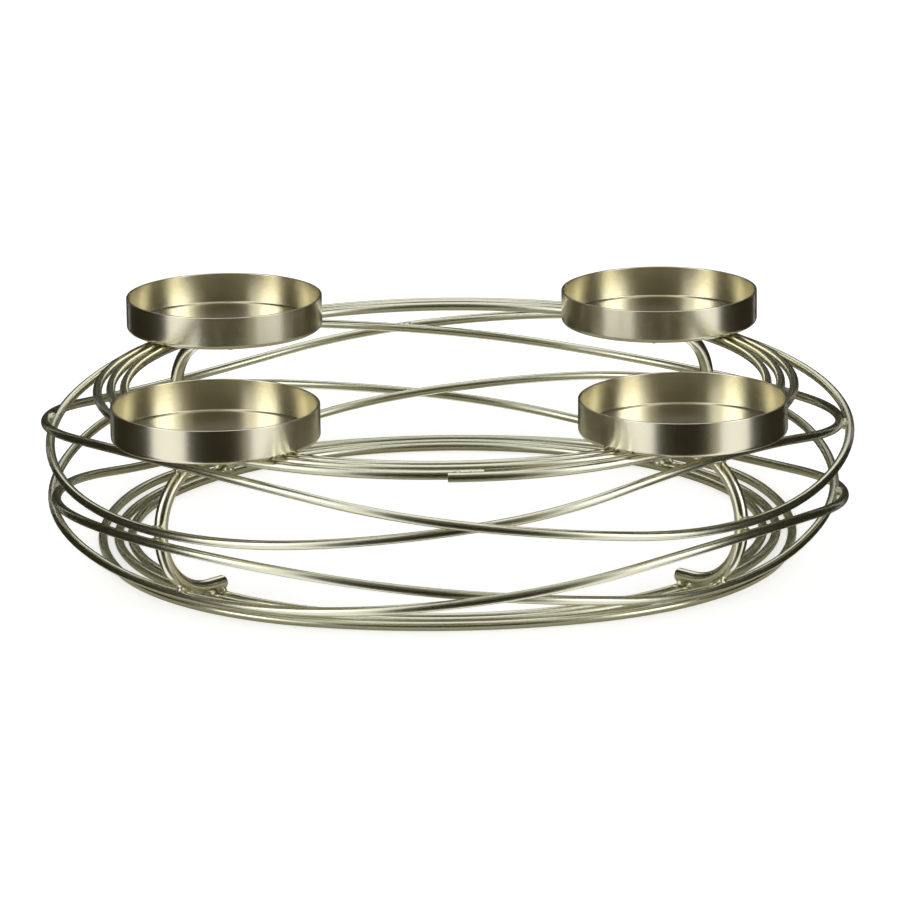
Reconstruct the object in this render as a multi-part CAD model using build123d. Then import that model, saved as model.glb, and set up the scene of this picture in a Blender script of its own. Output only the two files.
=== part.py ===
from build123d import *
import os
from math import cos, pi, radians, sin, sqrt

# Advent candle holder: four shallow cups stand on a welded wreath of ten wire hoops and four C-shaped ribs.
# Millimetres. The floor is z = 0 and the wreath's axis is the Z axis. Ribs and cups lie on the X and Y axes.

# Candle cups, pressed from sheet
cup_dia = 75.0
cup_height = 12.5
cup_sheet = 0.9
cup_corner_radius = 1.6
cup_rim_rounding = 0.3
rim_limit_share = 0.4
cup_setback = 1.0

# Ribs, bent from round rod
rod_dia = 5.0
rib_reach = 145.8
rib_bend_radius = 23.0
rib_belly_length = 1.6
top_arm_overhang = 3.3
foot_overhang = 0.3
rod_end_rounding = 0.7

# Hoops, bent from round wire
wire_dia = 3.4
top_hoop_setback = 3.8
foot_hoop_setback = 5.3
bundle_clearance = 1.6
shoulder_clearance = 4.9
toe_clearance = 11.4
toe_tuck = 4.0
side_clearance = 1.3
upper_draw_in = 0.6
lower_draw_in = 2.5
foot_draw_in = 5.0

# How steeply a waved hoop passes the middle of a bay, against an even slope from rib to rib
bay_slope_share = 1.3

# Where a pair of waved hoops crosses, counted from the middle of the bay
crossing_degrees = 5.0

# The outer top hoop is closed by a lap: its two ends lie side by side
lap_length = 13.0
lap_degrees = -40.0

# Welds
weld_gap = 0.1
bead_radius = 2.2
cup_bead_radius = 1.9
cup_bead_spread = 14.0
lap_bead_shares = [0.3, 0.75]

# An even number of ribs, because the waved hoops take turns from rib to rib
rib_count = 4
bundle_names = ["inner", "middle", "outer"]

# Heights, built up from the floor
foot_hoop_height = wire_dia / 2
rod_to_wire = rod_dia / 2 + weld_gap + wire_dia / 2
foot_height = foot_hoop_height + rod_to_wire
lower_bend_height = foot_height + rib_bend_radius
upper_bend_height = lower_bend_height + rib_belly_length
top_arm_height = upper_bend_height + rib_bend_radius
top_hoop_height = top_arm_height + rod_to_wire
cup_floor_height = top_hoop_height + wire_dia / 2 + weld_gap
belly_height = (lower_bend_height + upper_bend_height) / 2

# Radii, counted from the wreath's axis
bend_centre_radius = rib_reach - rib_bend_radius
seat_radius = rib_bend_radius + rod_to_wire
side_by_side = wire_dia + weld_gap
bundle_pitch = wire_dia + bundle_clearance
bundle_steps = [bundle_pitch * i for i in range(len(bundle_names))]
top_hoop_radii = [bend_centre_radius - top_hoop_setback + step for step in bundle_steps]
foot_hoop_radii = [bend_centre_radius - foot_hoop_setback + step for step in bundle_steps[:-1]]
top_tip_radius = top_hoop_radii[0] - wire_dia / 2 - top_arm_overhang
foot_tip_radius = foot_hoop_radii[0] - wire_dia / 2 - foot_overhang
cup_centre_radius = top_hoop_radii[0] - cup_setback
lap_turn = lap_length / (top_hoop_radii[-1] + side_by_side) * 180 / pi


def seat_drop(radius):
    """How far a wire lying on a rib's bend at this radius has left the level of the arm."""
    past_bend = max(radius - bend_centre_radius, 0)
    return seat_radius - sqrt(seat_radius**2 - past_bend**2)


def top_place(radius):
    """Radius and height of a wire that lies on the top arm or on the shoulder of a rib."""
    return radius, top_hoop_height - seat_drop(radius)


def foot_place(radius):
    """Radius and height of a wire that lies under the foot or under the toe of a rib."""
    return radius, foot_hoop_height + seat_drop(radius)


def side_place(above_belly):
    """Radius and height of a wire that lies on the outside of a rib, this far above its belly."""
    past_bend = max(abs(above_belly) - rib_belly_length / 2, 0)
    return bend_centre_radius + sqrt(seat_radius**2 - past_bend**2), belly_height + above_belly


shoulder_place = top_place(top_hoop_radii[-1] + wire_dia + shoulder_clearance)
toe_place = foot_place(foot_hoop_radii[-1] + wire_dia + toe_clearance)
under_toe_place = toe_place[0] - toe_tuck, foot_hoop_height
half_side_pitch = (wire_dia + side_clearance) / 2
upper_side_place = side_place(half_side_pitch)
lower_side_place = side_place(-half_side_pitch)


def way(degrees):
    """The level direction that leaves the axis at this angle."""
    return Vector(cos(radians(degrees)), sin(radians(degrees)), 0)


def at(degrees, radius, height):
    """A point by its angle round the axis, its radius and its height."""
    return way(degrees) * radius + Vector(0, 0, height)


def round_bar(path, dia):
    """A round bar along a path."""
    return sweep(Plane(origin=path @ 0, z_dir=path % 0) * Circle(dia / 2), path=path)


def biarc(start, start_way, end, end_way):
    """Two arcs that leave start along start_way, meet smoothly and reach end along end_way."""
    span = end - start
    square = 2 * (1 - start_way.dot(end_way))
    linear = 2 * span.dot(start_way + end_way)
    reach = (sqrt(linear**2 + 4 * square * span.dot(span)) - linear) / (2 * square)
    first_corner = start + start_way * reach
    second_corner = end - end_way * reach
    middle = (first_corner + second_corner) / 2
    first = Edge.make_tangent_arc(start, start_way, middle)
    second = Edge.make_tangent_arc(middle, second_corner - first_corner, end)
    return [first, second]


def bay_run(place, next_place):
    """Rise and drift of a waved hoop per unit of length in the middle of a bay."""
    bay_length = upper_side_place[0] * 2 * pi / rib_count
    rise = (next_place[1] - place[1]) / bay_length * bay_slope_share
    drift = (next_place[0] - place[0]) / bay_length
    return rise, drift


def crossing_step(place, next_place):
    """Step in radius that leaves two hoops a weld gap apart where they cross at a slant."""
    rise, drift = bay_run(place, next_place)
    return side_by_side * sqrt(1 + (drift / rise) ** 2)


def waved_hoop(even_place, odd_place, bay_radius, bay_shift=crossing_degrees):
    """A closed hoop that takes turns between two places from rib to rib and has this radius in the bays."""
    places = [even_place, odd_place]
    points, ways = [], []
    for i in range(rib_count):
        degrees = 360 / rib_count * i
        place, next_place = places[i % 2], places[(i + 1) % 2]
        points.append(at(degrees, *place))
        ways.append(way(degrees + 90))
        side = 1 if i % 2 else -1
        bay_degrees = degrees + 180 / rib_count + side * bay_shift
        rise, drift = bay_run(place, next_place)
        points.append(at(bay_degrees, bay_radius, (place[1] + next_place[1]) / 2))
        ways.append((way(bay_degrees + 90) + at(bay_degrees, drift, rise)).normalized())
    arcs = []
    for i in range(len(points)):
        j = (i + 1) % len(points)
        arcs += biarc(points[i], ways[i], points[j], ways[j])
    return round_bar(Wire(arcs), wire_dia), points


def plain_hoop(radius, height):
    """A flat closed hoop."""
    return Pos(0, 0, height) * Torus(radius, wire_dia / 2)


def lapped_hoop(radius, height, last_rib_degrees):
    """A flat hoop seated on every rib, whose far end is then led outside its start and lies beside it."""
    lap_radius = radius + side_by_side
    turn = lap_degrees - last_rib_degrees + 360
    stops = [at(lap_degrees - turn * quarter / 4, radius, height) for quarter in range(5)]
    beside = at(lap_degrees, lap_radius, height)
    mid_lap = at(lap_degrees - lap_turn / 2, lap_radius, height)
    end = at(lap_degrees - lap_turn, lap_radius, height)
    rib_way = way(last_rib_degrees - 90)
    beside_way = way(lap_degrees - 90)
    arcs = [Edge.make_three_point_arc(*stops[:3]), Edge.make_three_point_arc(*stops[2:])]
    arcs += biarc(stops[-1], rib_way, beside, beside_way)
    arcs += [Edge.make_three_point_arc(beside, mid_lap, end)]
    return round_bar(Wire(arcs), wire_dia)


def cup_block(degrees):
    """The outside of a cup as a filled block: an upright wall and a rounded foot edge."""
    block = Pos(0, 0, cup_height / 2) * Cylinder(cup_dia / 2, cup_height)
    block = fillet(block.edges().sort_by(Axis.Z)[0], cup_corner_radius)
    return Pos(at(degrees, cup_centre_radius, cup_floor_height)) * block


def candle_cup(degrees):
    """A shallow pan of thin sheet."""
    hollow_height = cup_height - cup_sheet
    hollow = Pos(0, 0, cup_sheet + hollow_height / 2) * Cylinder(cup_dia / 2 - cup_sheet, hollow_height)
    hollow = fillet(hollow.edges().sort_by(Axis.Z)[0], cup_corner_radius - cup_sheet)
    cup = cup_block(degrees) - Pos(at(degrees, cup_centre_radius, cup_floor_height)) * hollow
    return fillet(cup.edges().group_by(Axis.Z)[-1], min(cup_rim_rounding, cup_sheet * rim_limit_share))


def rib(degrees):
    """A C of round rod in an upright plane, open towards the axis."""
    corner = rib_bend_radius * sqrt(0.5)
    top_tip = at(degrees, top_tip_radius, top_arm_height)
    top_end = at(degrees, bend_centre_radius, top_arm_height)
    shoulder = at(degrees, bend_centre_radius + corner, upper_bend_height + corner)
    upper_belly = at(degrees, rib_reach, upper_bend_height)
    lower_belly = at(degrees, rib_reach, lower_bend_height)
    toe = at(degrees, bend_centre_radius + corner, lower_bend_height - corner)
    foot_end = at(degrees, bend_centre_radius, foot_height)
    foot_tip = at(degrees, foot_tip_radius, foot_height)
    path = Wire([
        Edge.make_line(top_tip, top_end),
        Edge.make_three_point_arc(top_end, shoulder, upper_belly),
        Edge.make_line(upper_belly, lower_belly),
        Edge.make_three_point_arc(lower_belly, toe, foot_end),
        Edge.make_line(foot_end, foot_tip),
    ])
    bar = round_bar(path, rod_dia)
    ends = bar.faces().filter_by(GeomType.PLANE)
    return fillet(ends.edges(), rod_end_rounding)


def weld_bead(point, towards, radius, *pieces):
    """Weld metal that fills the nook where pieces meet, one of them lying in this direction."""
    bead = Plane(origin=point, z_dir=towards) * Sphere(radius)
    for piece in pieces:
        bead -= piece
    return bead.solid()


def rod_middle_near(place):
    """The middle of a rib's rod nearest to a wire at this place."""
    radius, height = place
    level = min(max(height, lower_bend_height), upper_bend_height)
    if radius <= bend_centre_radius:
        return radius, top_arm_height if height > belly_height else foot_height
    out, up = radius - bend_centre_radius, height - level
    stretch = rib_bend_radius / sqrt(out**2 + up**2)
    return bend_centre_radius + out * stretch, level + up * stretch


def rib_bead(index, place, hoop):
    """The bead in the gap between a rib and a hoop that lies at this place."""
    wire_middle = at(rib_degrees[index], *place)
    rod_middle = at(rib_degrees[index], *rod_middle_near(place))
    span = rod_middle - wire_middle
    to_gap = (span.length - rod_dia / 2 + wire_dia / 2) / 2
    return weld_bead(wire_middle + span.normalized() * to_gap, span, bead_radius, ribs[index], hoop)


rib_degrees = [360 / rib_count * i for i in range(rib_count)]
cups = [candle_cup(degrees) for degrees in rib_degrees]
ribs = [rib(degrees) for degrees in rib_degrees]

# The waved hoops: the outer one of each pair passes outside its partner in every bay
upper_outer_radius = upper_side_place[0] - upper_draw_in
upper_inner_radius = upper_outer_radius - crossing_step(shoulder_place, upper_side_place)
lower_outer_radius = lower_side_place[0] - lower_draw_in
lower_inner_radius = lower_outer_radius - crossing_step(lower_side_place, toe_place)
upper_outer, upper_outer_points = waved_hoop(upper_side_place, shoulder_place, upper_outer_radius)
upper_inner, upper_inner_points = waved_hoop(shoulder_place, upper_side_place, upper_inner_radius)
lower_outer, lower_outer_points = waved_hoop(lower_side_place, toe_place, lower_outer_radius)
lower_inner, lower_inner_points = waved_hoop(toe_place, lower_side_place, lower_inner_radius)

# The flat hoops of the top and foot bundles: the outer foot hoop runs out under the toes
top_places = [top_place(radius) for radius in top_hoop_radii]
foot_places = [foot_place(radius) for radius in foot_hoop_radii]
foot_places.append(under_toe_place)
top_hoops = [plain_hoop(*place) for place in top_places[:-1]]
top_hoops.append(lapped_hoop(*top_places[-1], rib_degrees[0]))
foot_hoops = [plain_hoop(*place) for place in foot_places[:-1]]
drawn_in_radius = under_toe_place[0] - foot_draw_in
foot_hoops.append(waved_hoop(under_toe_place, under_toe_place, drawn_in_radius, 0)[0])

# Weld beads where a hoop lies on a rib
top_welds, foot_welds, shoulder_welds, toe_welds, side_welds = [], [], [], [], []
for i in range(rib_count):
    shoulder_hoop, side_hoop = (upper_inner, upper_outer) if i % 2 == 0 else (upper_outer, upper_inner)
    toe_hoop, low_side_hoop = (lower_inner, lower_outer) if i % 2 == 0 else (lower_outer, lower_inner)
    for place, hoop in zip(top_places, top_hoops):
        top_welds.append(rib_bead(i, place, hoop))
    for place, hoop in zip(foot_places, foot_hoops):
        foot_welds.append(rib_bead(i, place, hoop))
    shoulder_welds.append(rib_bead(i, shoulder_place, shoulder_hoop))
    toe_welds.append(rib_bead(i, toe_place, toe_hoop))
    side_welds.append(rib_bead(i, upper_side_place, side_hoop))
    side_welds.append(rib_bead(i, lower_side_place, low_side_hoop))

# Weld beads where two waved hoops cross, and along the lap
crossing_welds = []
for i in range(1, 2 * rib_count, 2):
    upper_span = upper_outer_points[i] - upper_inner_points[i]
    lower_span = lower_outer_points[i] - lower_inner_points[i]
    upper_middle = upper_inner_points[i] + upper_span / 2
    lower_middle = lower_inner_points[i] + lower_span / 2
    crossing_welds.append(weld_bead(upper_middle, upper_span, bead_radius, upper_outer, upper_inner))
    crossing_welds.append(weld_bead(lower_middle, lower_span, bead_radius, lower_outer, lower_inner))
lap_welds = []
for share in lap_bead_shares:
    degrees = lap_degrees - lap_turn * share
    middle = at(degrees, top_hoop_radii[-1] + side_by_side / 2, top_places[-1][1])
    lap_welds.append(weld_bead(middle, way(degrees), bead_radius, top_hoops[-1]))

# Weld beads between the cups' undersides and the two inner top hoops
cup_welds = []
for i in range(rib_count):
    block = cup_block(rib_degrees[i])
    for radius, hoop in zip(top_hoop_radii[:-1], top_hoops):
        for side in (-1, 1):
            degrees = rib_degrees[i] + side * cup_bead_spread / radius * 180 / pi
            middle = at(degrees, radius, cup_floor_height - weld_gap / 2)
            cup_welds.append(weld_bead(middle, Axis.Z.direction, cup_bead_radius, hoop, block))

nodes = {
    "upper_hoop_outer": upper_outer,
    "upper_hoop_inner": upper_inner,
    "lower_hoop_outer": lower_outer,
    "lower_hoop_inner": lower_inner,
    "top_welds": Compound(top_welds),
    "foot_welds": Compound(foot_welds),
    "shoulder_welds": Compound(shoulder_welds),
    "toe_welds": Compound(toe_welds),
    "side_welds": Compound(side_welds),
    "crossing_welds": Compound(crossing_welds),
    "lap_welds": Compound(lap_welds),
    "cup_welds": Compound(cup_welds),
}
for name, top_hoop, foot_hoop in zip(bundle_names, top_hoops, foot_hoops):
    nodes[f"top_hoop_{name}"] = top_hoop
    nodes[f"foot_hoop_{name}"] = foot_hoop
for i in range(rib_count):
    nodes[f"candle_cup_{i + 1}"] = cups[i]
    nodes[f"rib_{i + 1}"] = ribs[i]

os.makedirs("parts", exist_ok=True)
for name, piece in nodes.items():
    piece.label = name
    export_step(piece, f"parts/{name}.step")
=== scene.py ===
# %% [markdown]
# # An advent candle holder in satin champagne gold
# The real object is an open wreath: ten hoops of thin wire and four C-shaped ribs, all welded, with four
# shallow cups for pillar candles on top. Everything is metal, and nothing moves.
# The solids were made in a CAD program and arrive here in metres, each piece as its own mesh. Their shapes
# are already right, so this lesson is about what makes plain grey solids look like the real thing: the
# camera, the light, the metal and the little lumps of weld.

# %% Load the solids
import math
import random

import bmesh
import bpy
from mathutils import Matrix, Vector, noise


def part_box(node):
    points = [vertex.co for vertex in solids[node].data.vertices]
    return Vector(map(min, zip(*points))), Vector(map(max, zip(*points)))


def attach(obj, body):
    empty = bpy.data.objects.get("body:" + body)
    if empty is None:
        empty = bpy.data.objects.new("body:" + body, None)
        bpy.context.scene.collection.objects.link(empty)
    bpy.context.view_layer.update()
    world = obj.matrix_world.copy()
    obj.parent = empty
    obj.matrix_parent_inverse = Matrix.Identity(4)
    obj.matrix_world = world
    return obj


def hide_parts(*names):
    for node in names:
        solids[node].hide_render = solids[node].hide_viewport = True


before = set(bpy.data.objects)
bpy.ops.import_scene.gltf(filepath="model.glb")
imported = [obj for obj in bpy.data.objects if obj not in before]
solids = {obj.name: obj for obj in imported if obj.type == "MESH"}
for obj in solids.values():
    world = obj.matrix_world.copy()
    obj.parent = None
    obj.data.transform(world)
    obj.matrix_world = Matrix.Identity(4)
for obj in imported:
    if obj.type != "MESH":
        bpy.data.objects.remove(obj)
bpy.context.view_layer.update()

# %% [markdown]
# ## The camera
# A product photograph like this one is taken from far away with a long lens, so that near and far cups
# come out almost the same size. A short lens close by would make the front cups swell.
# The wreath stands with its ribs on the X and Y axes, and the photographer looked between two of them. So
# the camera is set up as if it looked along +Y and is then turned about the wreath's axis by about an
# eighth of a turn. Its own small roll is kept too: the picture leans by less than a degree.

# %% Camera
view_turn = math.radians(44.22)
camera_tilt = math.radians(14.98)
camera_roll = math.radians(0.675)
camera_yaw = math.radians(0.04)
camera_place = Vector((-0.0002, -2.1548, 0.6083))
focal_length = 240.0
film_width = 36.0

turn = Matrix.Rotation(view_turn, 4, "Z")
look = (Matrix.Rotation(-camera_yaw, 4, "Z")
        @ Matrix.Rotation(math.pi / 2 - camera_tilt, 4, "X")
        @ Matrix.Rotation(-camera_roll, 4, "Z"))
lens = bpy.data.cameras.new("long_lens")
lens.sensor_width = film_width
lens.lens = focal_length
camera = bpy.data.objects.new("camera", lens)
camera.matrix_world = turn @ Matrix.Translation(camera_place) @ look
bpy.context.scene.collection.objects.link(camera)
bpy.context.scene.camera = camera
bpy.context.scene.view_settings.view_transform = "Standard"
print("camera at", [round(v, 3) for v in camera.matrix_world.translation])

# %% [markdown]
# ## Small helpers for node trees
# Every finish below is a tree of nodes, and each node takes several lines when it is added by hand. Two
# helpers keep the recipes short: one adds a node and fills its inputs, the other does one sum on two
# values. An input is either a plain value or the output of another node, and then the helper draws the link.

# %% Node helpers
def add(tree, kind, settings=None, **inputs):
    """A new node. Settings are its properties. Inputs go by label, or by number as i0, i1 and so on."""
    node = tree.nodes.new(kind)
    for name, value in (settings or {}).items():
        setattr(node, name, value)
    for name, value in inputs.items():
        by_number = name[0] == "i" and name[1:].isdigit()
        socket = node.inputs[int(name[1:]) if by_number else name.replace("_", " ")]
        if isinstance(value, bpy.types.NodeSocket):
            tree.links.new(value, socket)
        else:
            socket.default_value = value
    return node


def maths(tree, operation, first, second=0.0):
    """The result of one sum on two values or sockets."""
    return add(tree, "ShaderNodeMath", {"operation": operation}, i0=first, i1=second).outputs[0]


print("helpers ready:", add.__name__, maths.__name__)

# %% [markdown]
# ## White floor
# The photograph has a pure white ground. Pouring light on the set until the floor burns out would bleach
# the metal as well. It is better to leave the lamps at a plain level and let the floor glow only for rays
# that look at it, so that no extra light falls on the wreath. Under the glow lies plain white paint, which
# still takes the shadow.

# %% Floor
pure_white = (1.0, 1.0, 1.0, 1.0)
floor_tone = (0.86, 0.86, 0.85, 1.0)
floor_glow = 0.58
floor_size = 12.0


def new_material(name):
    """An empty node material and its tree."""
    material = bpy.data.materials.new(name)
    material.use_nodes = True
    material.node_tree.nodes.clear()
    return material, material.node_tree


def seen_directly(tree):
    """1 for rays that come from the camera, from a reflection or through something clear."""
    path = add(tree, "ShaderNodeLightPath")
    first = maths(tree, "MAXIMUM", path.outputs["Is Camera Ray"], path.outputs["Is Glossy Ray"])
    return maths(tree, "MAXIMUM", first, path.outputs["Is Transmission Ray"])


floor_paint, tree = new_material("floor_paint")
paint = add(tree, "ShaderNodeBsdfDiffuse", Color=floor_tone)
glow_strength = maths(tree, "MULTIPLY", seen_directly(tree), floor_glow)
glow = add(tree, "ShaderNodeEmission", Color=pure_white, Strength=glow_strength)
both = add(tree, "ShaderNodeAddShader", i0=paint.outputs[0], i1=glow.outputs[0])
add(tree, "ShaderNodeOutputMaterial", Surface=both.outputs[0])

bpy.ops.mesh.primitive_plane_add(size=floor_size)
floor = bpy.context.object
floor.name = "floor"
floor.data.materials.append(floor_paint)
print("floor", floor_size, "m wide")

# %% [markdown]
# ## White sky
# The sky is done in the same way. As a lamp it gives a soft, even light below full white, but to the camera
# and to the metal it is white. A mirror is only as bright as what it sees, so this sky is what gives the
# wires their bright edges.

# %% Sky
sky_light = 0.6
sky_seen = 1.0

sky = bpy.data.worlds.new("sky")
sky.use_nodes = True
tree = sky.node_tree
tree.nodes.clear()
extra = maths(tree, "MULTIPLY", seen_directly(tree), sky_seen - sky_light)
strength = maths(tree, "ADD", extra, sky_light)
light = add(tree, "ShaderNodeBackground", Color=pure_white, Strength=strength)
add(tree, "ShaderNodeOutputWorld", Surface=light.outputs[0])
bpy.context.scene.world = sky
print("sky lights with", sky_light, "and is seen as", sky_seen)

# %% [markdown]
# ## Softboxes
# Metal shows what stands around it. The bright upright bands on the cups are two tall softboxes, one at
# each side in front. Area lights do the same here, and they also give the soft shadow.

# %% Softboxes
softbox_degrees = 60
softbox_distance = 1.9
softbox_height = 0.75
softbox_size = 0.9, 1.3
softbox_power = 4.5
aim = Vector((0, 0, 0.04))


def toward(degrees):
    """The level direction at this angle from the camera's side. Plus is to the camera's right."""
    angle = view_turn - math.pi / 2 + math.radians(degrees)
    return Vector((math.cos(angle), math.sin(angle), 0))


def softbox(name, degrees):
    """An area light at this angle, aimed at the wreath."""
    data = bpy.data.lights.new(name, "AREA")
    data.shape = "RECTANGLE"
    data.size, data.size_y = softbox_size
    data.energy = softbox_power
    lamp = bpy.data.objects.new(name, data)
    lamp.location = toward(degrees) * softbox_distance + Vector((0, 0, softbox_height))
    lamp.rotation_euler = (aim - lamp.location).to_track_quat("-Z", "Y").to_euler()
    bpy.context.scene.collection.objects.link(lamp)
    print(name, "at", [round(v, 2) for v in lamp.location])


softbox("softbox_left", -softbox_degrees)
softbox("softbox_right", softbox_degrees)

# %% [markdown]
# ## Painted reflections on the cards
# In an all-white room polished metal turns white and loses its edges. Photographers stand dark cards where
# the metal should show a dark line; here the cards are painted reflections that stand for the shade of the
# room round the set. One flat black would give that line hard edges, but the dark core of a wire in the
# photograph has soft ones. So the paint is darkest at about the wreath's own level and gets paler above and
# below, a painted shade gradient. The height of a spot, as an angle seen from the wreath, chooses its tone.

# %% Reflection paint
card_distance = 3.0
darkest_rise = math.radians(-6)
dark_reach = math.radians(12)
pale_reach = math.radians(76)


def mix_tones(tree, share, first, second):
    """A tone between two others. A share of 0 gives the first and 1 the second."""
    return add(tree, "ShaderNodeMix", {"data_type": "RGBA"}, i0=share, i6=first, i7=second).outputs[2]


def graded_reflection_paint(name, level_tone, far_tone):
    """Paint seen only in reflections: one tone at the wreath's level that turns into another far above and
    below, a painted shade gradient.
    """
    material, tree = new_material(name)
    place = add(tree, "ShaderNodeTexCoord").outputs["Object"]
    height = add(tree, "ShaderNodeSeparateXYZ", Vector=place).outputs[2]
    rise = maths(tree, "ARCSINE", maths(tree, "DIVIDE", height, card_distance))
    away = maths(tree, "ABSOLUTE", maths(tree, "SUBTRACT", rise, darkest_rise))
    share = add(tree, "ShaderNodeMapRange", Value=away, From_Min=dark_reach, From_Max=pale_reach)
    tone = mix_tones(tree, share.outputs[0], level_tone, far_tone)
    reflection_paint = add(tree, "ShaderNodeBsdfDiffuse", Color=tone)
    add(tree, "ShaderNodeOutputMaterial", Surface=reflection_paint.outputs[0])
    print(name, "from", level_tone[:3], "to", far_tone[:3])
    return material


# Painted reflections: near-black shade at the sides and behind, a dark shaded tone in front, a tan edge
# beside it.
black_reflection_paint = graded_reflection_paint("black_reflection_paint", (0.037, 0.031, 0.0165, 1.0), (0.055, 0.051, 0.033, 1.0))
shaded_reflection_paint = graded_reflection_paint("shaded_reflection_paint", (0.026, 0.0205, 0.0075, 1.0), (0.25, 0.24, 0.18, 1.0))
tan_reflection_paint = graded_reflection_paint("tan_reflection_paint", (0.45, 0.42, 0.31, 1.0), (0.6, 0.58, 0.47, 1.0))

# %% [markdown]
# ## Dark cards
# The card on the camera's side gives each wire its dark core and each cup its dark middle. A narrow tan card
# at its right softens that edge on the cups. Black cards stand at the sides and behind, and the white gaps
# between the cards become the bright bands.
# Flat boards would show their corners in the round wires, so each card is a piece of a large ball round the
# wreath, from below the floor's level to high up. The cards take part in reflections only, so they neither
# stand in the picture nor shade the floor.

# %% Dark cards
front_card_left, front_card_right = -31, 28
tan_card_right = 39
left_card_front, right_card_front = -71, 74
back_card_edge = 150
side_card_edge = 148
full_turn = 360
front_heights = -72, 82
side_heights = -50, 74
back_heights = -40, 29
card_steps = 24


def show_in_metal_only(thing):
    """Makes a piece of the set that only reflections can see."""
    thing.visible_camera = False
    thing.visible_diffuse = False
    thing.visible_shadow = False


def dark_card(name, reflection_paint, from_degrees, to_degrees, heights):
    """A card of painted reflection between two angles from the camera's side and between two heights, all in
    degrees.
    """
    card = bmesh.new()
    lowest, highest = heights
    lines = []
    for i in range(card_steps + 1):
        rise = math.radians(lowest + (highest - lowest) * i / card_steps)
        line = []
        for j in range(card_steps + 1):
            degrees = from_degrees + (to_degrees - from_degrees) * j / card_steps
            spot = toward(degrees) * math.cos(rise) + Vector((0, 0, math.sin(rise)))
            line.append(card.verts.new(spot * card_distance))
        lines.append(line)
    for low, high in zip(lines, lines[1:]):
        for j in range(card_steps):
            card.faces.new((low[j], low[j + 1], high[j + 1], high[j]))
    mesh = bpy.data.meshes.new(name)
    card.to_mesh(mesh)
    card.free()
    mesh.materials.append(reflection_paint)
    board = bpy.data.objects.new(name, mesh)
    bpy.context.scene.collection.objects.link(board)
    show_in_metal_only(board)
    print(name, "faces:", len(mesh.polygons))


# Each card carries painted reflection of the room's shade, seen by the metal only.
dark_card("card_front", shaded_reflection_paint, front_card_left, front_card_right, front_heights)
dark_card("card_tan", tan_reflection_paint, front_card_right, tan_card_right, front_heights)
dark_card("card_left", black_reflection_paint, -side_card_edge, left_card_front, side_heights)
dark_card("card_right", black_reflection_paint, right_card_front, side_card_edge, side_heights)
dark_card("card_back", black_reflection_paint, back_card_edge, full_turn - back_card_edge, back_heights)

# %% [markdown]
# ## The ground under the wreath
# The wires hang low over the table, so their undersides mirror the ground close by, where the wreath itself
# takes much of the light away. In the picture those undersides are a middle tone, not white. A disc under
# the wreath, seen by the metal only, carries that as painted shade: darker in the middle and paler at its
# edge. Its dark middle lies a little to the back, because the wires in front have bright lower edges. The
# floor itself is hidden from the metal, which looks past the disc at the cards and the white sky.

# %% Ground disc
disc_radius = 0.144
disc_lift = 0.0004
disc_corners = 96
dark_middle = turn @ Vector((0, 0.035, 0))
dark_radius = 0.115
pale_radius = 0.16
# Painted shade: the ground's tone in the wreath's shade and at the disc's paler edge.
dark_ground = (0.56, 0.535, 0.42, 1.0)
pale_ground = (0.74, 0.72, 0.62, 1.0)


def counted_from(tree, place, middle):
    """The same coordinates, counted from another middle."""
    return add(tree, "ShaderNodeVectorMath", {"operation": "SUBTRACT"}, i0=place, i1=middle).outputs[0]


# Painted shade of the wreath on the ground, shown in reflections only.
ground_shade_paint, tree = new_material("ground_shade_paint")
spot = counted_from(tree, add(tree, "ShaderNodeTexCoord").outputs["Object"], dark_middle)
reach = add(tree, "ShaderNodeVectorMath", {"operation": "LENGTH"}, i0=spot).outputs["Value"]
outside = add(tree, "ShaderNodeMapRange", Value=reach, From_Min=dark_radius, From_Max=pale_radius)
ground_tone = mix_tones(tree, outside.outputs[0], dark_ground, pale_ground)
reflection_paint = add(tree, "ShaderNodeBsdfDiffuse", Color=ground_tone)
add(tree, "ShaderNodeOutputMaterial", Surface=reflection_paint.outputs[0])

bpy.ops.mesh.primitive_circle_add(
    vertices=disc_corners, radius=disc_radius, fill_type="NGON", location=(0, 0, disc_lift))
ground = bpy.context.object
ground.name = "ground_disc"
ground.data.materials.append(ground_shade_paint)
show_in_metal_only(ground)
floor.visible_glossy = False
print("ground disc", disc_radius, "m in radius")

# %% [markdown]
# ## Champagne gold
# All pieces carry the same thin gold lacquer over metal, so one function makes the base of every finish: a
# metal shader with a pale gold that wanders a little between a paler and a deeper tone, as lacquer does.
# Each finish then adds its own marks to roughness and bump: lines drawn along a wire, rings turned on a cup,
# pits on a weld. Bump is enough for those, because they are too shallow to change an outline.

# %% Gold base
wire_tones = (0.83, 0.825, 0.66, 1.0), (0.76, 0.75, 0.57, 1.0)
usual_cloud_scale = 45.0
usual_spread = 0.05


def grain(tree, place, scale, detail):
    """A noise pattern with values from 0 to 1."""
    return add(tree, "ShaderNodeTexNoise", Vector=place, Scale=scale, Detail=detail).outputs[0]


def gold(name, tones, marks, mark_height, roughness, spread=usual_spread, cloud_scale=usual_cloud_scale):
    """A gold finish. Marks is a function that adds the surface marks and returns their height socket."""
    material, tree = new_material(name)
    place = add(tree, "ShaderNodeTexCoord").outputs["Object"]
    tone = mix_tones(tree, grain(tree, place, cloud_scale, detail=3.0), *tones)
    height = marks(tree, place)
    rough = add(tree, "ShaderNodeMapRange", Value=height,
                To_Min=roughness - spread, To_Max=roughness + spread)
    bump = add(tree, "ShaderNodeBump", Strength=1.0, Distance=mark_height, Height=height)
    metal = add(tree, "ShaderNodeBsdfPrincipled", Base_Color=tone, Metallic=1.0,
                Roughness=rough.outputs[0], Normal=bump.outputs[0])
    add(tree, "ShaderNodeOutputMaterial", Surface=metal.outputs[0])
    return material


print("wire gold from", wire_tones[0][:3], "to", wire_tones[1][:3])

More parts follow.
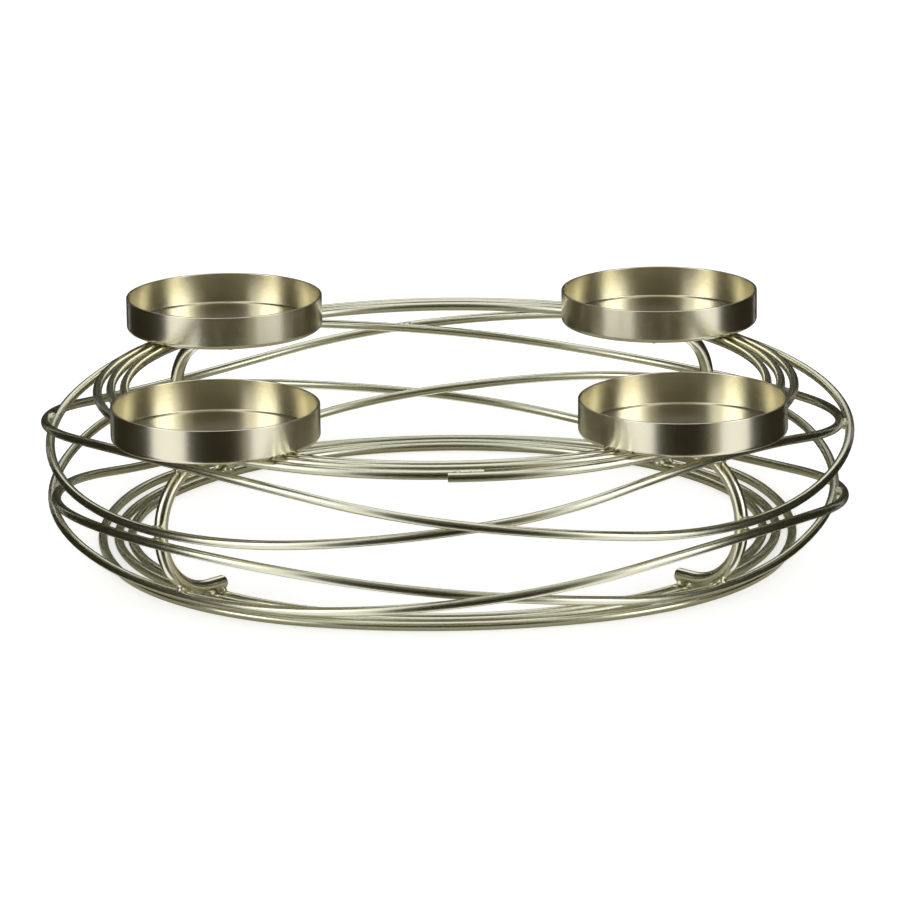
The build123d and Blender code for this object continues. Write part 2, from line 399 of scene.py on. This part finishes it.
# %% [markdown]
# ## Sewing the wires
# A wire arrives as several patches, and where two patches meet each has corners and normals of its own. On a
# grey solid nobody would see it, but a mirror shows it: the reflection jumps at every border. Smooth shading
# can't mend that across split corners. So each wire gets a copy in which the corners at one place are merged,
# and the copy stands in for the solid. Edges sharper than a limit stay sharp, such as those of a cut end. The
# cups keep their own meshes, whose flat floors have the right normals already.

# %% Sewn copies
sew_distance = 0.000002
sharp_limit = math.radians(40)


def stand_in(name, mesh, material, node):
    """Turns a bmesh into a smooth piece of the wreath that stands for this node."""
    mesh.verts.index_update()
    data = bpy.data.meshes.new(name)
    faces = [[corner.index for corner in face.verts] for face in mesh.faces]
    data.from_pydata([corner.co for corner in mesh.verts], [], faces)
    mesh.free()
    data.polygons.foreach_set("use_smooth", [True] * len(data.polygons))
    data.set_sharp_from_angle(angle=sharp_limit)
    data.materials.append(material)
    piece = bpy.data.objects.new(name, data)
    bpy.context.scene.collection.objects.link(piece)
    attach(piece, "root")
    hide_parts(node)
    print(name, "faces:", len(data.polygons), "material:", material.name)


def sewn_mesh(name):
    """A bmesh copy of a solid with its patches joined."""
    mesh = bmesh.new()
    mesh.from_mesh(solids[name].data)
    bmesh.ops.remove_doubles(mesh, verts=mesh.verts, dist=sew_distance)
    return mesh


print("corners merge within", sew_distance, "m")

# %% [markdown]
# ## Drawn wire
# Wire is pulled through a die, which leaves faint lines along it. A noise pattern gives such lines when it
# is stretched along the wire. The hoops all run round one axis, so the angle about that axis measures the
# way along every one of them, and the radius and the height measure the way across. A second, rounder noise
# adds the shallow dents that bending leaves.

# %% Hoop wire
line_stretch = 0.008
line_scale = 2600.0
dent_scale = 260.0
line_share = 0.35


def along_the_hoop(tree, place, stretch):
    """Coordinates that run slowly along a hoop and fast across its wire."""
    x, y, z = add(tree, "ShaderNodeSeparateXYZ", Vector=place).outputs
    squares = maths(tree, "ADD", maths(tree, "MULTIPLY", x, x), maths(tree, "MULTIPLY", y, y))
    across = maths(tree, "SQRT", squares)
    slow = maths(tree, "MULTIPLY", maths(tree, "ARCTAN2", y, x), stretch)
    return add(tree, "ShaderNodeCombineXYZ", X=slow, Y=across, Z=z).outputs[0]


def blend(tree, first, second, share):
    """A blend of two patterns, with this share of the first."""
    rest = maths(tree, "MULTIPLY", second, 1 - share)
    return maths(tree, "ADD", maths(tree, "MULTIPLY", first, share), rest)


def drawn_lines(tree, place):
    """Fine lines along a hoop, over shallow dents."""
    lines = grain(tree, along_the_hoop(tree, place, line_stretch), line_scale, detail=2.0)
    return blend(tree, lines, grain(tree, place, dent_scale, detail=2.0), line_share)


hoop_gold = gold("hoop_wire_gold", wire_tones, drawn_lines, mark_height=0.000012,
                 roughness=0.235, spread=0.03)
for name in sorted(name for name in solids if "_hoop_" in name):
    stand_in(name + "_wire", sewn_mesh(name), hoop_gold, name)

# %% [markdown]
# ## Bent rod
# The ribs are thicker rod, bent cold. They have the same lacquer over a slightly bumpier skin without drawn
# lines, so two plain noises of different scale are enough. Their gold is a little paler than the wire's.

# %% Rib rod
rib_tones = (0.92, 0.90, 0.73, 1.0), (0.86, 0.835, 0.66, 1.0)
skin_scale = 420.0
wave_scale = 120.0
skin_share = 0.4


def bent_skin(tree, place):
    """A fine skin over slow waves."""
    skin = grain(tree, place, skin_scale, detail=3.0)
    return blend(tree, skin, grain(tree, place, wave_scale, detail=1.0), skin_share)


rib_gold = gold("rib_rod_gold", rib_tones, bent_skin, mark_height=0.000015, roughness=0.225, spread=0.03)
for name in sorted(name for name in solids if name.startswith("rib_")):
    stand_in(name + "_rod", sewn_mesh(name), rib_gold, name)

# %% [markdown]
# ## Pressed cups
# A cup is pressed from thin sheet and brushed while it turns, so its marks are fine rings round its own
# axis: level lines on the wall, circles on the floor. The coordinates of the drawn wire give such rings as
# well, once they are counted from the cup's own middle. That middle comes from the box of the cup's solid,
# and each cup gets its own copy of the finish.

# %% Candle cups
cup_tones = (0.89, 0.85, 0.68, 1.0), (0.835, 0.79, 0.61, 1.0)
ring_stretch = 0.0012
ring_scale = 2200.0
haze_scale = 140.0
ring_share = 0.5


def turned_rings(middle):
    """Marks for a cup whose axis stands at this point."""
    def marks(tree, place):
        turned = along_the_hoop(tree, counted_from(tree, place, middle), ring_stretch)
        rings = grain(tree, turned, ring_scale, detail=3.0)
        return blend(tree, rings, grain(tree, place, haze_scale, detail=2.0), ring_share)
    return marks


for name in sorted(name for name in solids if name.startswith("candle_cup_")):
    low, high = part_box(name)
    cup_gold = gold(name + "_gold", cup_tones, turned_rings((low + high) / 2), mark_height=0.00002,
                    roughness=0.225, spread=0.04, cloud_scale=25.0)
    slots = solids[name].data.materials
    slots.clear()
    slots.append(cup_gold)
    print(cup_gold.name, "on", name)

# %% [markdown]
# ## Where the welds sit
# Where wires meet, a drop of metal has run into the nook. The solids have a smooth ball there, cut away
# where the wires are. The balls of a group share one mesh, but they don't touch, so each is an island of
# joined corners. Walking from corner to corner along the edges of a sewn copy collects one island after the
# other. The middles are sorted by their rounded places, so that their order is the same each time.

# %% Find the balls
place_digits = 4


def ball_middles(name):
    """The middle of each ball in a weld solid."""
    copy = sewn_mesh(name)
    waiting = set(copy.verts)
    middles = []
    while waiting:
        island, border = [], [waiting.pop()]
        while border:
            corner = border.pop()
            island.append(corner.co.copy())
            for edge in corner.link_edges:
                neighbour = edge.other_vert(corner)
                if neighbour in waiting:
                    waiting.remove(neighbour)
                    border.append(neighbour)
        low = Vector(min(p[i] for p in island) for i in range(3))
        high = Vector(max(p[i] for p in island) for i in range(3))
        middles.append((low + high) / 2)
    copy.free()
    return sorted(middles, key=lambda p: [round(v, place_digits) for v in p])


weld_names = sorted(name for name in solids if name.endswith("_welds"))
weld_middles = {name: ball_middles(name) for name in weld_names}
print({name: len(middles) for name, middles in weld_middles.items()})

# %% [markdown]
# ## The shape of a weld
# A real weld is a lump with a rippled skin, and every one is a little different. Sculpting more than sixty
# of them by hand would be slow. Here each is an icosphere that is stretched along the hoop and pushed in and
# out by noise: a coarse one for the drop's shape and a fine one for the ripples. Dice with a fixed seed
# choose the size and the piece of noise, so the lumps differ from each other but come out the same each time.

# %% Shape of a weld
weld_dice = random.Random(24)
lump_fineness = 4
noise_room = 50
least_size, most_size = 0.9, 1.08
drop_swell, drop_scale = 0.16, 1.5
ripple_swell, ripple_scale = 0.06, 5


def weld_lump(mesh, middle, size, stretch, ceiling):
    """Adds one lump round this point, flat where it would rise over the ceiling."""
    outward = Vector((middle.x, middle.y, 0)).normalized()
    along = Vector((-outward.y, outward.x, 0))
    shift = Vector([weld_dice.uniform(0, noise_room) for i in range(3)])
    size *= weld_dice.uniform(least_size, most_size)
    for vertex in bmesh.ops.create_icosphere(mesh, subdivisions=lump_fineness, radius=1.0)["verts"]:
        spot = vertex.co.copy()
        drop = drop_swell * noise.noise(spot * drop_scale + shift)
        ripple = ripple_swell * noise.noise(spot * ripple_scale + shift)
        spot *= size * (1 + drop + ripple)
        spot.z = min(spot.z, ceiling)
        vertex.co = middle + outward * spot.x + along * spot.y * stretch + Vector((0, 0, spot.z))


print("weld sizes vary from", least_size, "to", most_size)

# %% [markdown]
# ## Weld lumps
# Welds at crossings and on the lap are drawn out along the wire, and those under the ribs' feet are the
# largest. A weld under a cup is kept flat on top, so that nothing comes through the cup's floor. The lacquer
# lies over the welds too, a bit rougher and with small pits.

# %% Weld lumps
usual_weld_size = 0.0018
weld_sizes = {"cup_welds": 0.0014, "top_welds": 0.0016, "crossing_welds": 0.0019, "foot_welds": 0.0021}
usual_stretch = 1.12
weld_stretches = {"crossing_welds": 1.35, "lap_welds": 1.35}
no_ceiling = 1.0
weld_ceilings = {"cup_welds": 0.0003}
pit_scale = 900.0
weld_ripple_scale = 800.0
pit_share = 0.5


def pits(tree, place):
    """Small pits among fine ripples."""
    holes = add(tree, "ShaderNodeTexVoronoi", Vector=place, Scale=pit_scale).outputs[0]
    return blend(tree, holes, grain(tree, place, weld_ripple_scale, detail=3.0), pit_share)


weld_gold = gold("weld_gold", wire_tones, pits, mark_height=0.00015, roughness=0.30, cloud_scale=90.0)
for name in weld_names:
    lumps = bmesh.new()
    size = weld_sizes.get(name, usual_weld_size)
    stretch = weld_stretches.get(name, usual_stretch)
    ceiling = weld_ceilings.get(name, no_ceiling)
    for middle in weld_middles[name]:
        weld_lump(lumps, middle, size, stretch, ceiling)
    stand_in(name + "_lumps", lumps, weld_gold, name)
